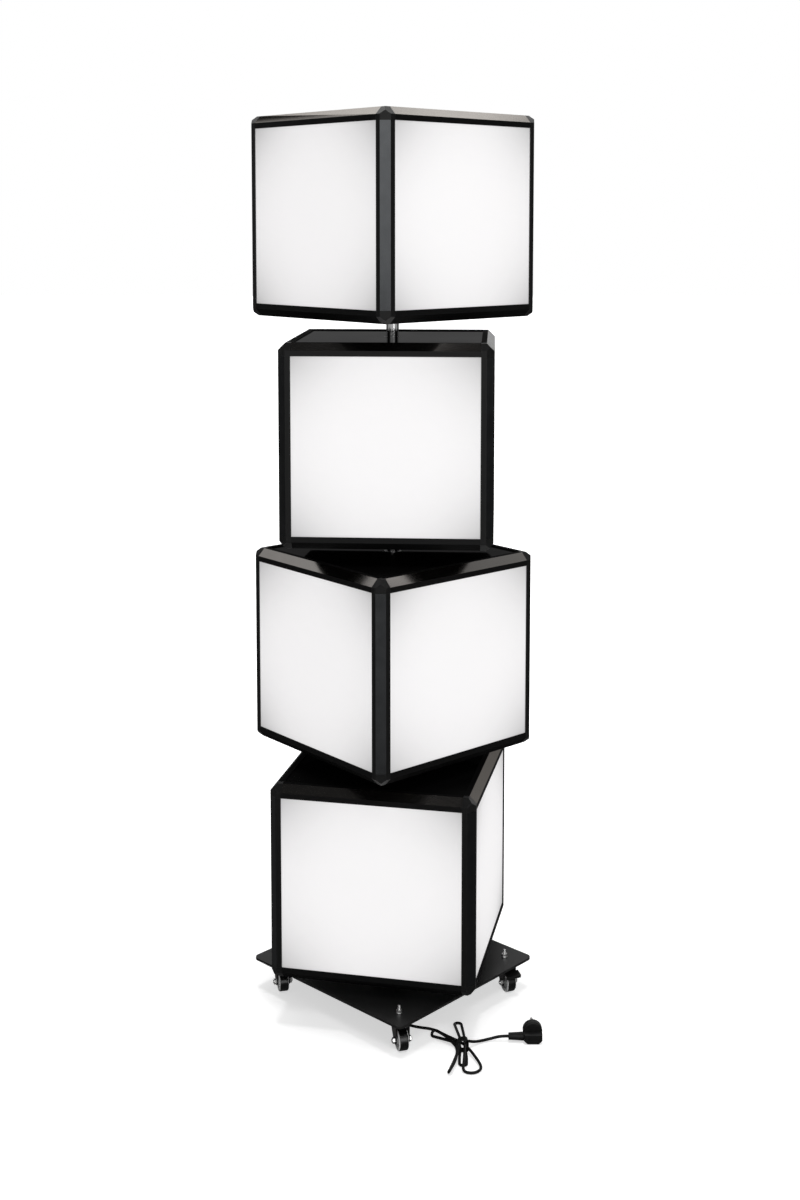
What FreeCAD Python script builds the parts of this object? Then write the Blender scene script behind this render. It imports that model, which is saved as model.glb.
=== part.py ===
import FreeCAD, Part
import math
import os

# A rotating display tower: four lit cubes that turn one by one on a chromed pole,
# over a square base plate on four swivel castors, with a mains lead tied in a hank.
# Millimetres, +Z up, origin on the floor under the pole's axis, front towards -Y.

Vector = FreeCAD.Vector
ORIGIN = Vector(0, 0, 0)
ALONG_X = Vector(1, 0, 0)
ALONG_Y = Vector(0, 1, 0)
UP = Vector(0, 0, 1)
QUARTERS = (0, 90, 180, 270)

# Every cut runs this far past the face that it opens
overrun = 1.0

# Stack of cubes, counted from the bottom
cube_width = 400.0
cube_height = 386.0
cube_gap = 39.0
cube_turns_degrees = (-12.1, 40.7, -3.6, 42.6)

# Frame profile along the twelve edges of a cube
edge_chamfer = 14.0
flat_border = 10.5
profile_wall = 2.0

# Sheets held in the frame's slots
sheet_thickness = 3.0
slot_side_clearance = 0.2
slot_end_clearance = 0.3

# Pole and its foot
pole_diameter = 25.0
pole_wall = 2.0
fit_clearance = 0.05
foot_flange_diameter = 84.0
foot_flange_thickness = 6.0
foot_socket_diameter = 35.0
foot_socket_height = 14.0
foot_screw_circle = 60.0
foot_screw_diameter = 6.0
foot_screw_head_diameter = 10.0
foot_screw_head_height = 3.3

# Cap on the pole's upper end
cap_diameter = 44.0
cap_thickness = 4.0
cap_spigot_length = 20.0
cap_lift = 0.8

# Flanged bushes of a cube, and the collar inside it that carries the cube
bush_flange_diameter = 60.0
bush_flange_thickness = 4.0
bush_spigot_diameter = 35.0
bush_seat_clearance = 0.1
collar_diameter = 40.0
collar_height = 10.0
collar_chamfer = 1.5
thrust_clearance = 0.3

# Light core inside each cube, clamped on the pole
core_width = 40.0
core_end_room = 43.0
core_wall = 2.0
core_end_plate = 4.0
strip_width = 12.0
strip_end_room = 10.0
strip_thickness = 1.6

# Base plate, turned so that one corner points to the front
plate_width = 391.0
plate_depth = 411.0
plate_thickness = 5.0
plate_turn_degrees = 46.5
plate_corner_radius = 12.0
plate_wire_hole = 16.0
cube_clearance = 30.0
castor_inset = 40.0

# Castors, in their own frame: swivel axis at the origin, wheel trailing towards +X
castor_height = 59.0
wheel_diameter = 40.0
tyre_width = 20.0
tyre_depth = 4.0
tyre_shoulder = 3.5
castor_trail = 17.0
stud_diameter = 6.0
stud_above_plate = 15.0
washer_diameter = 12.0
washer_thickness = 1.2
nut_across_flats = 10.0
nut_height = 5.0
race_diameter = 30.0
race_height = 3.0
rivet_diameter = 11.0
rivet_height = 3.0
crown_diameter = 34.0
crown_height = 8.0
crown_rounding = 2.0
swivel_clearance = 0.3
cheek_thickness = 2.5
cheek_back = 12.0
cheek_front = 25.0
cheek_straight = 10.0
cheek_boss_diameter = 15.0
hub_width = 22.0
hub_diameter = 14.0
hub_side_clearance = 0.3
rim_web_width = 11.0
rim_ring_width = 18.0
rim_ring_depth = 3.0
axle_diameter = 6.0
axle_head_across_flats = 10.0
axle_head_height = 4.2
axle_end = 1.6
castor_names = ("front", "right", "back", "left")
castor_headings_degrees = (-74.0, -68.0, -70.0, -76.0)
braked_castors = ("right", "back")

# Brake pedal over the wheel of a braked castor, drawn pressed down
pedal_pivot_reach = 21.0
pedal_pivot_height = 48.0
pedal_pin_diameter = 4.0
pedal_barrel_diameter = 7.0
pedal_throw_degrees = 12.0
pedal_slope_degrees = 26.0
pedal_length = 25.0
pedal_thickness = 2.5
pedal_width = 31.0
pedal_wide_length = 16.0
pedal_lip = 4.0
pedal_shoe_reach = 8.0
pedal_shoe_length = 5.0
pedal_shoe_gap = 0.5
pedal_side_clearance = 0.4

# Cable entry under the plate, with a tapered boot towards the front
entry_width = 28.0
entry_length = 34.0
entry_height = 17.0
entry_rounding = 4.0
boot_length = 28.0
boot_root_diameter = 13.0
boot_tip_diameter = 9.0

# Mains cord, whose route is given by hand from the boot, over the floor, to the plug's neck
cord_diameter = 5.5
cord_sides = 8
arc_share = 0.45
gap_sample_step = 1.0
gap_reach_diameters = 3.2
lying = cord_diameter / 2
boot_end = (0.0, -42.0, 50.0)
lead_route = (
    boot_end,
    (0.0, -62.0, 50.0),
    (4.0, -88.0, 39.0),
    (7.0, -112.0, 20.0),
    (13.0, -136.0, 6.5),
    (27.0, -157.0, lying),
    (52.0, -168.0, lying),
    (77.0, -173.0, lying),
    (97.0, -192.0, lying),
    (111.0, -216.0, lying),
)
plug_neck_tip = (221.0, -213.0, 10.0)
tail_route = (
    (154.0, -230.0, 7.5),
    (171.0, -217.5, 3.4),
    (190.0, -212.0, 5.2),
    (206.0, -213.0, 10.0),
    plug_neck_tip,
)

# Hank: the place and the direction of its waist, and the places of the six passes through the
# waist, each as a distance across it and a layer over the floor
hank_waist = (133.0, -245.0)
hank_axis_degrees = -82.0
hank_layer = 7.4
hank_passes = ((-9.4, 0), (-3.8, 2), (3.8, 0), (-3.4, 1), (4.8, 1), (3.8, 2))

# Loops of the hank, one after each pass but the last: direction from the waist, lean of the loop
# out of the floor, reach to its tip, radius of the fold there, and, at the middle of the loop,
# the half width and the lift of the strand that runs out and of the strand that runs back
hank_loops = (
    (252.0, 115.0, 92.0, 6.4, 3.4, 0.0, 3.4, 6.5),
    (94.0, 0.0, 95.0, 6.6, 6.0, 10.5, 7.5, 0.0),
    (268.0, 0.0, 60.0, 6.6, 7.0, 0.0, 6.6, 2.4),
    (138.0, 42.0, 77.0, 6.4, 4.8, 4.8, 4.8, 1.4),
    (280.0, 0.0, 88.0, 18.0, 20.0, 2.0, 10.0, 10.0),
)
middle_shares = (0.5, 0.45, 0.5, 0.5, 0.66)

# Flat band round the hank's waist, which lifts the strands off the floor
tie_width = 6.0
tie_thickness = 0.9
tie_left = 15.2
tie_right = 14.4
tie_height = 20.6
tie_corner_radius = 3.0
tie_clearance = 0.4

# Angled mains plug lying on its side at the cord's end, pins away from the front: a round disc
# with the pins, and behind it a housing in line with the cord's neck
plug_diameter = 37.0
plug_length = 28.0
plug_disc_length = 15.0
plug_disc_rounding = 3.0
plug_front_chamfer = 1.5
plug_housing_width = 35.0
plug_housing_height = 20.0
plug_housing_chamfer = 6.5
plug_housing_rounding = 2.5
plug_neck_length = 27.5
plug_neck_root_diameter = 17.0
plug_neck_tip_diameter = 13.0
plug_pin_diameter = 4.8
plug_pin_length = 19.0
plug_pin_spacing = 19.0

# Worked out from the sizes above
plate_top = castor_height + plate_thickness
cube_pitch = cube_height + cube_gap
lowest_bottom = plate_top + cube_clearance
cube_bottoms = [lowest_bottom + cube_pitch * level for level in range(len(cube_turns_degrees))]
profile_width = edge_chamfer + flat_border
slot_width = sheet_thickness + 2 * slot_side_clearance
slot_floor = edge_chamfer + profile_wall
inner_face = 2 * profile_wall + slot_width
inner_chamfer_sum = edge_chamfer + math.sqrt(2) * profile_wall
sheet_depth = profile_wall + slot_side_clearance
pole_radius = pole_diameter / 2
lid_top = cube_bottoms[-1] + cube_height - sheet_depth
pole_top = lid_top + cap_lift
core_length = cube_height - 2 * core_end_room
strip_length = core_length - 2 * strip_end_room
wheel_radius = wheel_diameter / 2
rim_radius = wheel_radius - tyre_depth
race_bottom = castor_height - race_height
crown_top = race_bottom - swivel_clearance
crown_bottom = crown_top - crown_height
cheek_inner = hub_width / 2 + hub_side_clearance
cheek_outer = cheek_inner + cheek_thickness
cord_radius = cord_diameter / 2


def turned(shape, degrees, axis=UP, centre=ORIGIN):
    copy = shape.copy()
    copy.rotate(centre, axis, degrees)
    return copy


def moved(shape, x, y, z):
    copy = shape.copy()
    copy.translate(Vector(x, y, z))
    return copy


def disc(diameter, height, bottom, hole=0.0):
    solid = Part.makeCylinder(diameter / 2, height, Vector(0, 0, bottom))
    if hole:
        bore = Part.makeCylinder(hole / 2, height + 2 * overrun, Vector(0, 0, bottom - overrun))
        solid = solid.cut(bore)
    return solid


def prism(points, direction):
    return Part.Face(Part.makePolygon(points + points[:1])).extrude(direction)


def revolved(outline, axis):
    """Turn an outline of (radius, place along the axis) pairs about +Z or +Y."""
    if axis == UP:
        points = [Vector(radius, 0, place) for radius, place in outline]
    else:
        points = [Vector(0, place, radius) for radius, place in outline]
    return Part.Face(Part.makePolygon(points + points[:1])).revolve(ORIGIN, axis, 360)


def hexagon(across_flats, height, bottom):
    corner = Vector(across_flats / math.sqrt(3), 0, bottom)
    corners = [FreeCAD.Rotation(UP, 60 * side).multVec(corner) for side in range(6)]
    return prism(corners, Vector(0, 0, height))


def export(name, solids):
    shape = solids[0] if len(solids) == 1 else Part.makeCompound(solids)
    shape.exportStep(os.path.join("parts", name + ".step"))


# Cube frame

def profile_outline():
    """Section of the edge profile, from the cube's sharp corner: two slotted legs behind a sloped wall."""
    slot_back = profile_wall + slot_width
    inner_corner = inner_chamfer_sum - inner_face
    half = [
        (edge_chamfer, 0),
        (profile_width, 0),
        (profile_width, profile_wall),
        (slot_floor, profile_wall),
        (slot_floor, slot_back),
        (profile_width, slot_back),
        (profile_width, inner_face),
        (inner_corner, inner_face),
    ]
    return half + [(v, u) for u, v in reversed(half)]


def corner_posts():
    edge = -cube_width / 2
    points = [Vector(edge + u, edge + v, profile_width) for u, v in profile_outline()]
    post = prism(points, Vector(0, 0, cube_height - 2 * profile_width))
    return [turned(post, quarter) for quarter in QUARTERS]


def upside_down(shape):
    return turned(shape, 180, ALONG_X, Vector(0, 0, cube_height / 2))


def edge_rails():
    edge = -cube_width / 2
    points = [Vector(edge + profile_width, edge + u, v) for u, v in profile_outline()]
    rail = prism(points, Vector(cube_width - 2 * profile_width, 0, 0))
    lower = [turned(rail, quarter) for quarter in QUARTERS]
    return lower + [upside_down(piece) for piece in lower]


def chamfered_corner(start, size, chamfer):
    """Cube with one corner at (start, start, start), whose three edges at that corner are sloped off."""
    block = Part.makeBox(size, size, size, Vector(start, start, start))
    near = start - overrun
    leg = start + chamfer + overrun
    length = size + 2 * overrun
    for axis in range(3):
        corners = []
        for u, v in ((near, near), (leg, near), (near, leg)):
            place = [u, v]
            place.insert(axis, near)
            corners.append(Vector(*place))
        along = [0, 0, 0]
        along[axis] = length
        block = block.cut(prism(corners, Vector(*along)))
    return block


def corner_caps():
    cap = chamfered_corner(0, profile_width, edge_chamfer)
    cavity = chamfered_corner(inner_face, profile_width, inner_chamfer_sum - 2 * inner_face)
    cap = cap.cut(cavity)
    reach = profile_width - slot_floor + overrun
    for axis in range(3):
        size = [reach, reach, reach]
        size[axis] = slot_width
        corner = [slot_floor, slot_floor, slot_floor]
        corner[axis] = profile_wall
        cap = cap.cut(Part.makeBox(*size, Vector(*corner)))
    cap = moved(cap, -cube_width / 2, -cube_width / 2, 0)
    lower = [turned(cap, quarter) for quarter in QUARTERS]
    return lower + [upside_down(piece) for piece in lower]


def face_panels():
    margin = slot_floor + slot_end_clearance
    width = cube_width - 2 * margin
    height = cube_height - 2 * margin
    corner = Vector(-width / 2, -cube_width / 2 + sheet_depth, margin)
    panel = Part.makeBox(width, sheet_thickness, height, corner)
    return [turned(panel, quarter) for quarter in QUARTERS]


def end_sheet(bottom):
    margin = slot_floor + slot_end_clearance
    width = cube_width - 2 * margin
    sheet = Part.makeBox(width, width, sheet_thickness, Vector(-width / 2, -width / 2, bottom))
    seat = bush_spigot_diameter + 2 * bush_seat_clearance
    return sheet.cut(disc(seat, sheet_thickness + 2 * overrun, bottom - overrun))


def bushes():
    """Flanged bushes that run on the pole, flush with the floor and the lid, which rests on the upper one."""
    bore = pole_diameter + 2 * fit_clearance
    floor_top = sheet_depth + sheet_thickness
    lid_bottom = cube_height - floor_top
    lower = disc(bush_flange_diameter, bush_flange_thickness, floor_top, bore)
    lower = lower.fuse(disc(bush_spigot_diameter, sheet_thickness, sheet_depth, bore)).removeSplitter()
    upper = disc(bush_flange_diameter, bush_flange_thickness, lid_bottom - bush_flange_thickness, bore)
    upper = upper.fuse(disc(bush_spigot_diameter, sheet_thickness, lid_bottom, bore)).removeSplitter()
    return [lower, upper]


def build_cubes():
    pieces = {
        "posts": corner_posts(),
        "rails": edge_rails(),
        "corner_caps": corner_caps(),
        "panels": face_panels(),
        "lid": [end_sheet(cube_height - sheet_depth - sheet_thickness)],
        "floor": [end_sheet(sheet_depth)],
        "bushes": bushes(),
    }
    for level, turn in enumerate(cube_turns_degrees):
        for name, solids in pieces.items():
            placed = [moved(turned(solid, turn), 0, 0, cube_bottoms[level]) for solid in solids]
            export("cube_%d_%s" % (level + 1, name), placed)


# Pole, and what is fixed to it

def pole():
    return disc(pole_diameter, pole_top - plate_top, plate_top, pole_diameter - 2 * pole_wall)


def pole_cap():
    spigot_diameter = pole_diameter - 2 * pole_wall - 2 * fit_clearance
    head = disc(cap_diameter, cap_thickness, pole_top)
    upper = [edge for edge in head.Edges if edge.BoundBox.ZMin > pole_top]
    head = head.makeFillet(cap_thickness / 2, upper)
    spigot = disc(spigot_diameter, cap_spigot_length, pole_top - cap_spigot_length)
    return head.fuse(spigot).removeSplitter()


def support_collars():
    """One clamped ring inside each cube, which carries the cube by its upper bush."""
    radius = collar_diameter / 2
    bore = pole_radius + fit_clearance
    ring = revolved(
        [
            (bore, 0),
            (radius - collar_chamfer, 0),
            (radius, collar_chamfer),
            (radius, collar_height - collar_chamfer),
            (radius - collar_chamfer, collar_height),
            (bore, collar_height),
        ],
        UP,
    )
    bush_bottom = cube_height - sheet_depth - sheet_thickness - bush_flange_thickness
    rise = bush_bottom - thrust_clearance - collar_height
    return [moved(ring, 0, 0, bottom + rise) for bottom in cube_bottoms]


def light_cores():
    """Square sleeves with end plates, one at mid height in each cube."""
    outer = Part.makeBox(core_width, core_width, core_length, Vector(-core_width / 2, -core_width / 2, 0))
    room = core_width - 2 * core_wall
    room_length = core_length - 2 * core_end_plate
    outer = outer.cut(Part.makeBox(room, room, room_length, Vector(-room / 2, -room / 2, core_end_plate)))
    core = outer.cut(disc(pole_diameter + 2 * fit_clearance, core_length + 2 * overrun, -overrun))
    return [moved(core, 0, 0, bottom + core_end_room) for bottom in cube_bottoms]


def led_strips():
    corner = Vector(-strip_width / 2, -core_width / 2 - strip_thickness, 0)
    strip = Part.makeBox(strip_width, strip_thickness, strip_length, corner)
    rise = core_end_room + strip_end_room
    strips = [turned(strip, quarter) for quarter in QUARTERS]
    return [moved(strip, 0, 0, bottom + rise) for bottom in cube_bottoms for strip in strips]


def foot_screw_places():
    radius = foot_screw_circle / 2
    angles = [math.radians(quarter) for quarter in QUARTERS]
    return [(radius * math.cos(angle), radius * math.sin(angle)) for angle in angles]


def pole_foot():
    bore = pole_diameter + 2 * fit_clearance
    foot = disc(foot_flange_diameter, foot_flange_thickness, plate_top, bore)
    foot = foot.fuse(disc(foot_socket_diameter, foot_socket_height, plate_top, bore)).removeSplitter()
    screw_hole = foot_screw_diameter + 2 * fit_clearance
    hole = disc(screw_hole, foot_flange_thickness + 2 * overrun, plate_top - overrun)
    for x, y in foot_screw_places():
        foot = foot.cut(moved(hole, x, y, 0))
    return foot


# Base plate and its fasteners

def castor_places():
    """Swivel axes near the plate's corners, in the order front, right, back, left."""
    x = plate_width / 2 - castor_inset
    y = plate_depth / 2 - castor_inset
    corners = [Vector(-x, -y, 0), Vector(x, -y, 0), Vector(x, y, 0), Vector(-x, y, 0)]
    turn = FreeCAD.Rotation(UP, plate_turn_degrees)
    return [tuple(turn.multVec(corner))[:2] for corner in corners]


def base_plate():
    corner = Vector(-plate_width / 2, -plate_depth / 2, castor_height)
    plate = Part.makeBox(plate_width, plate_depth, plate_thickness, corner)
    uprights = [edge for edge in plate.Edges if edge.BoundBox.ZLength > plate_thickness / 2]
    plate = turned(plate.makeFillet(plate_corner_radius, uprights), plate_turn_degrees)
    holes = [(0, 0, plate_wire_hole)]
    holes += [(x, y, stud_diameter + 2 * fit_clearance) for x, y in castor_places()]
    holes += [(x, y, foot_screw_diameter + 2 * fit_clearance) for x, y in foot_screw_places()]
    for x, y, diameter in holes:
        hole = disc(diameter, plate_thickness + 2 * overrun, castor_height - overrun)
        plate = plate.cut(moved(hole, x, y, 0))
    return plate


def base_hardware():
    """Castor stems with their nuts and washers, and the button-head screws of the pole's foot."""
    bore = stud_diameter + 2 * fit_clearance
    washer = disc(washer_diameter, washer_thickness, plate_top, bore)
    nut = hexagon(nut_across_flats, nut_height, plate_top + washer_thickness)
    nut = nut.common(nut_facing()).cut(disc(bore, nut_height + 2 * overrun, plate_top))
    solids = []
    for x, y in castor_places():
        solids += [moved(piece, x, y, 0) for piece in (castor_stem(), washer, nut)]
    flange_top = plate_top + foot_flange_thickness
    head = disc(foot_screw_head_diameter, foot_screw_head_height, flange_top)
    upper = [edge for edge in head.Edges if edge.BoundBox.ZMin > flange_top]
    head = head.makeFillet(foot_screw_head_height / 2, upper)
    shank_length = foot_flange_thickness + plate_thickness
    screw = head.fuse(disc(foot_screw_diameter, shank_length, flange_top - shank_length)).removeSplitter()
    return solids + [moved(screw, x, y, 0) for x, y in foot_screw_places()]


def nut_facing():
    """Cone-topped cylinder that rounds off a nut's six upper corners."""
    corner = nut_across_flats / math.sqrt(3)
    flat = nut_across_flats / 2
    bottom = plate_top + washer_thickness
    top = bottom + nut_height
    outline = [(0, bottom), (corner, bottom), (corner, top - (corner - flat)), (flat, top), (0, top)]
    return revolved(outline, UP)


# Castors

def castor_stem():
    """Stud through the plate, race under it, and the riveted pin that the fork turns on."""
    pin = stud_diameter / 2
    stud_top = plate_top + stud_above_plate
    tip = pin / 4
    rivet_top = crown_bottom - swivel_clearance
    return revolved(
        [
            (0, rivet_top - rivet_height),
            (rivet_diameter / 2 - tip, rivet_top - rivet_height),
            (rivet_diameter / 2, rivet_top - rivet_height + tip),
            (rivet_diameter / 2, rivet_top),
            (pin, rivet_top),
            (pin, race_bottom),
            (race_diameter / 2, race_bottom),
            (race_diameter / 2, castor_height),
            (pin, castor_height),
            (pin, stud_top - tip),
            (pin - tip, stud_top),
            (0, stud_top),
        ],
        UP,
    )


def touch_point(point, centre, radius, side):
    """Point where the line from a point touches a circle, on its left (1) or right (-1), in (x, z)."""
    dx = centre[0] - point[0]
    dz = centre[1] - point[1]
    angle = math.atan2(dz, dx) + side * math.asin(radius / math.hypot(dx, dz))
    length = math.sqrt(dx * dx + dz * dz - radius * radius)
    return (point[0] + length * math.cos(angle), point[1] + length * math.sin(angle))


def fork_cheek():
    """Side plate of the fork: straight under the crown, then drawn in to a round boss at the axle."""
    axle = (castor_trail, wheel_radius)
    boss = cheek_boss_diameter / 2
    top = crown_top - crown_rounding
    shoulder = top - cheek_straight
    back = touch_point((-cheek_back, shoulder), axle, boss, -1)
    front = touch_point((cheek_front, shoulder), axle, boss, 1)

    def at(place):
        return Vector(place[0], cheek_inner, place[1])

    lowest = at((axle[0], axle[1] - boss))
    corners = [at(front), at((cheek_front, shoulder)), at((cheek_front, top))]
    corners += [at((-cheek_back, top)), at((-cheek_back, shoulder)), at(back)]
    edges = [Part.LineSegment(a, b).toShape() for a, b in zip(corners, corners[1:])]
    edges.append(Part.Arc(at(back), lowest, at(front)).toShape())
    return Part.Face(Part.Wire(edges)).extrude(Vector(0, cheek_thickness, 0))


def cross_pin(diameter, length, x, z):
    return Part.makeCylinder(diameter / 2, length, Vector(x, -length / 2, z), ALONG_Y)


def castor_fork(braked):
    crown = disc(crown_diameter, crown_height, crown_bottom)
    upper = [edge for edge in crown.Edges if edge.BoundBox.ZMin > crown_bottom]
    crown = crown.makeFillet(crown_rounding, upper)
    cheek = fork_cheek()
    fork = crown.multiFuse([cheek, moved(cheek, 0, -cheek_inner - cheek_outer, 0)]).removeSplitter()
    pin_hole = stud_diameter + 2 * fit_clearance
    fork = fork.cut(disc(pin_hole, crown_height + 2 * overrun, crown_bottom - overrun))
    through = 2 * cheek_outer + 2 * overrun
    fork = fork.cut(cross_pin(axle_diameter + 2 * fit_clearance, through, castor_trail, wheel_radius))
    if braked:
        hole = pedal_pin_diameter + 2 * fit_clearance
        fork = fork.cut(cross_pin(hole, through, pedal_pivot_reach, pedal_pivot_height))
    return fork


def castor_axle():
    length = 2 * (cheek_outer + axle_head_height + axle_end)
    axle = cross_pin(axle_diameter, length, castor_trail, wheel_radius)
    head = turned(hexagon(axle_head_across_flats, axle_head_height, cheek_outer), -90, ALONG_X)
    head = moved(head, castor_trail, 0, wheel_radius)
    return axle.multiFuse([head, turned(head, 180, UP, Vector(castor_trail, 0, 0))]).removeSplitter()


def castor_rim():
    """Hub, web and ring of the wheel, turned about the axle."""
    bore = axle_diameter / 2 + fit_clearance
    hub = hub_diameter / 2
    ring = rim_radius - rim_ring_depth
    half = [
        (bore, hub_width / 2),
        (hub, hub_width / 2),
        (hub, rim_web_width / 2),
        (ring, rim_web_width / 2),
        (ring, rim_ring_width / 2),
        (rim_radius, rim_ring_width / 2),
    ]
    rim = revolved(half + [(radius, -place) for radius, place in reversed(half)], ALONG_Y)
    return moved(rim, castor_trail, 0, wheel_radius)


def castor_tyre():
    """Solid tyre with rounded shoulders, seated on the rim's ring."""
    side = tyre_width / 2
    tyre = cross_pin(wheel_diameter, tyre_width, castor_trail, wheel_radius)
    tyre = tyre.makeFillet(tyre_shoulder, [edge for edge in tyre.Edges if edge.BoundBox.YLength < side])
    return tyre.cut(cross_pin(2 * rim_radius, tyre_width + 2 * overrun, castor_trail, wheel_radius))


def brake_pedal():
    """Bent pedal on a cross barrel: narrow between the cheeks, wide beyond them, over a shoe."""
    barrel_length = 2 * (cheek_inner - pedal_side_clearance)
    pivot = Vector(pedal_pivot_reach, 0, pedal_pivot_height)
    barrel = cross_pin(pedal_barrel_diameter, barrel_length, 0, 0)
    pins = cross_pin(pedal_pin_diameter, 2 * cheek_outer, 0, 0)
    under = -pedal_thickness / 2
    inner_corner = Vector(0, -barrel_length / 2, under)
    tongue = Part.makeBox(pedal_length, barrel_length, pedal_thickness, inner_corner)
    tread_corner = Vector(pedal_length - pedal_wide_length, -pedal_width / 2, under)
    tread = Part.makeBox(pedal_wide_length, pedal_width, pedal_thickness, tread_corner)
    lip_corner = Vector(pedal_length - pedal_thickness, -pedal_width / 2, under - pedal_lip)
    lip = Part.makeBox(pedal_thickness, pedal_width, pedal_lip + pedal_thickness, lip_corner)
    pedal = turned(barrel.multiFuse([pins, tongue, tread, lip]), pedal_slope_degrees, ALONG_Y)
    pedal.translate(pivot)
    pedal = pedal.fuse(brake_shoe()).removeSplitter()
    return turned(pedal, -pedal_throw_degrees, ALONG_Y, pivot)


def brake_shoe():
    """Block under the pressed pedal, hollowed to the tyre that it stops."""
    slope = math.radians(pedal_slope_degrees)
    width = tyre_width - tyre_shoulder
    start = pedal_pivot_reach + pedal_shoe_reach * math.cos(slope)
    top = pedal_pivot_height - pedal_shoe_reach * math.sin(slope)
    corner = Vector(start, -width / 2, wheel_radius)
    block = Part.makeBox(pedal_shoe_length, width, top - wheel_radius, corner)
    above = Part.makeBox(pedal_length, pedal_width, pedal_length, Vector(0, -pedal_width / 2, 0))
    above = turned(above, pedal_slope_degrees, ALONG_Y)
    block = block.cut(moved(above, pedal_pivot_reach, 0, pedal_pivot_height))
    swept = wheel_diameter + 2 * pedal_shoe_gap
    return block.cut(cross_pin(swept, pedal_width, castor_trail, wheel_radius))


def build_castors():
    shared = {"axle": castor_axle(), "rim": castor_rim(), "tyre": castor_tyre()}
    for name, heading, (x, y) in zip(castor_names, castor_headings_degrees, castor_places()):
        braked = name in braked_castors
        pieces = {"fork": castor_fork(braked), **shared}
        if braked:
            pieces["brake_pedal"] = brake_pedal()
        for piece, solid in pieces.items():
            export("castor_%s_%s" % (name, piece), [moved(turned(solid, heading), x, y, 0)])


# Mains cord and plug

def cable_entry():
    """Moulded elbow under the plate's wire hole, with a tapered boot that points to the front."""
    corner = Vector(-entry_width / 2, -entry_length / 2, castor_height - entry_height)
    body = Part.makeBox(entry_width, entry_length, entry_height, corner)
    rounded = [edge for edge in body.Edges if edge.BoundBox.ZMin < castor_height - entry_height / 2]
    body = body.makeFillet(entry_rounding, rounded)
    front = boot_end[1] + boot_length
    root = Vector(boot_end[0], front, boot_end[2])
    boot = Part.makeCone(boot_root_diameter / 2, boot_tip_diameter / 2, boot_length, root, -ALONG_Y)
    return body.fuse(boot).removeSplitter()


def hank_pass(across_waist, layer):
    """Point where one strand goes through the hank's waist."""
    axis = math.radians(hank_axis_degrees)
    waist = Vector(hank_waist[0], hank_waist[1], lying + tie_thickness + tie_clearance)
    return waist + Vector(-math.sin(axis), math.cos(axis), 0) * across_waist + UP * (hank_layer * layer)


def hank_loop(loop, middle_share):
    """Five points of one loop: the strand out, three round the fold at its tip, and the strand back."""
    heading_degrees, lean_degrees, reach, fold_radius, out_width, out_lift, back_width, back_lift = loop
    heading = math.radians(heading_degrees)
    lean = math.radians(lean_degrees)
    waist = Vector(hank_waist[0], hank_waist[1], lying)
    along = Vector(math.cos(heading), math.sin(heading), 0)
    across = Vector(math.sin(heading), -math.cos(heading), 0) * math.cos(lean) + UP * math.sin(lean)

    def strand(distance, half_width, side, lift):
        rise = half_width * math.sin(lean) + lift
        return waist + along * distance + across * (side * half_width) + UP * rise

    nose = fold_radius / math.cos(math.radians(30))
    corner = reach - nose + fold_radius * math.tan(math.radians(30))
    tip = waist + along * reach + UP * (fold_radius * math.sin(lean))
    middle = middle_share * reach
    return [
        strand(middle, out_width, -1, out_lift),
        strand(corner, fold_radius, -1, 0),
        tip,
        strand(corner, fold_radius, 1, 0),
        strand(middle, back_width, 1, back_lift),
    ]


def cord_route():
    """All points of the cord, from the boot through the hank's loops to the plug."""
    points = [Vector(*place) for place in lead_route]
    for place, loop, share in zip(hank_passes, hank_loops, middle_shares):
        points.append(hank_pass(*place))
        points += hank_loop(loop, share)
    points.append(hank_pass(*hank_passes[-1]))
    return points + [Vector(*place) for place in tail_route]


def rounded_edges(points):
    """Straight runs joined by tangent arcs, each as large as its two runs allow, and their radii."""
    edges = []
    radii = []
    start = points[0]
    for before, corner, after in zip(points, points[1:], points[2:]):
        arriving = (corner - before).normalize()
        leaving = (after - corner).normalize()
        half_turn = arriving.getAngle(leaving) / 2
        setback = arc_share * min((corner - before).Length, (after - corner).Length)
        radius = setback / math.tan(half_turn)
        inward = (leaving - arriving).normalize()
        first = corner - arriving * setback
        middle = corner + inward * (math.hypot(setback, radius) - radius)
        last = corner + leaving * setback
        edges.append(Part.LineSegment(start, first).toShape())
        edges.append(Part.Arc(first, middle, last).toShape())
        radii.append(radius)
        start = last
    edges.append(Part.LineSegment(start, points[-1]).toShape())
    return edges, radii


def cord_tube(edges):
    """Tube of flat sides, as many as cord_sides, along a path of straight runs and arcs."""
    path = Part.Wire(edges)
    start = edges[0].Vertexes[0].Point
    direction = (edges[0].Vertexes[-1].Point - start).normalize()
    side = direction.cross(UP).normalize()
    over = side.cross(direction)
    corners = []
    for number in range(cord_sides):
        angle = math.pi * (2 * number + 1) / cord_sides
        outwards = side * math.cos(angle) + over * math.sin(angle)
        corners.append(start + outwards * cord_radius)
    section = Part.makePolygon(corners + corners[:1])
    tube = path.makePipeShell([section], True, False)
    share = tube.Volume / (Part.Face(section).Area * path.Length)
    print("length %.1f, volume over section times length %.3f" % (path.Length, share))
    return tube


def least_self_gap(edges):
    """Least gap between two stretches of the cord that are not neighbours along it."""
    count = max(2, int(sum(edge.Length for edge in edges) / gap_sample_step))
    points = Part.Wire(edges).discretize(Number=count)
    apart = int(gap_reach_diameters * cord_diameter / gap_sample_step)
    nearest = min(
        first.distanceToPoint(second)
        for number, first in enumerate(points)
        for second in points[number + apart:]
    )
    return nearest - cord_diameter


def halved(edge):
    """The two halves of a straight edge."""
    start = edge.Vertexes[0].Point
    end = edge.Vertexes[-1].Point
    middle = (start + end) / 2
    return Part.LineSegment(start, middle).toShape(), Part.LineSegment(middle, end).toShape()


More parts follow.
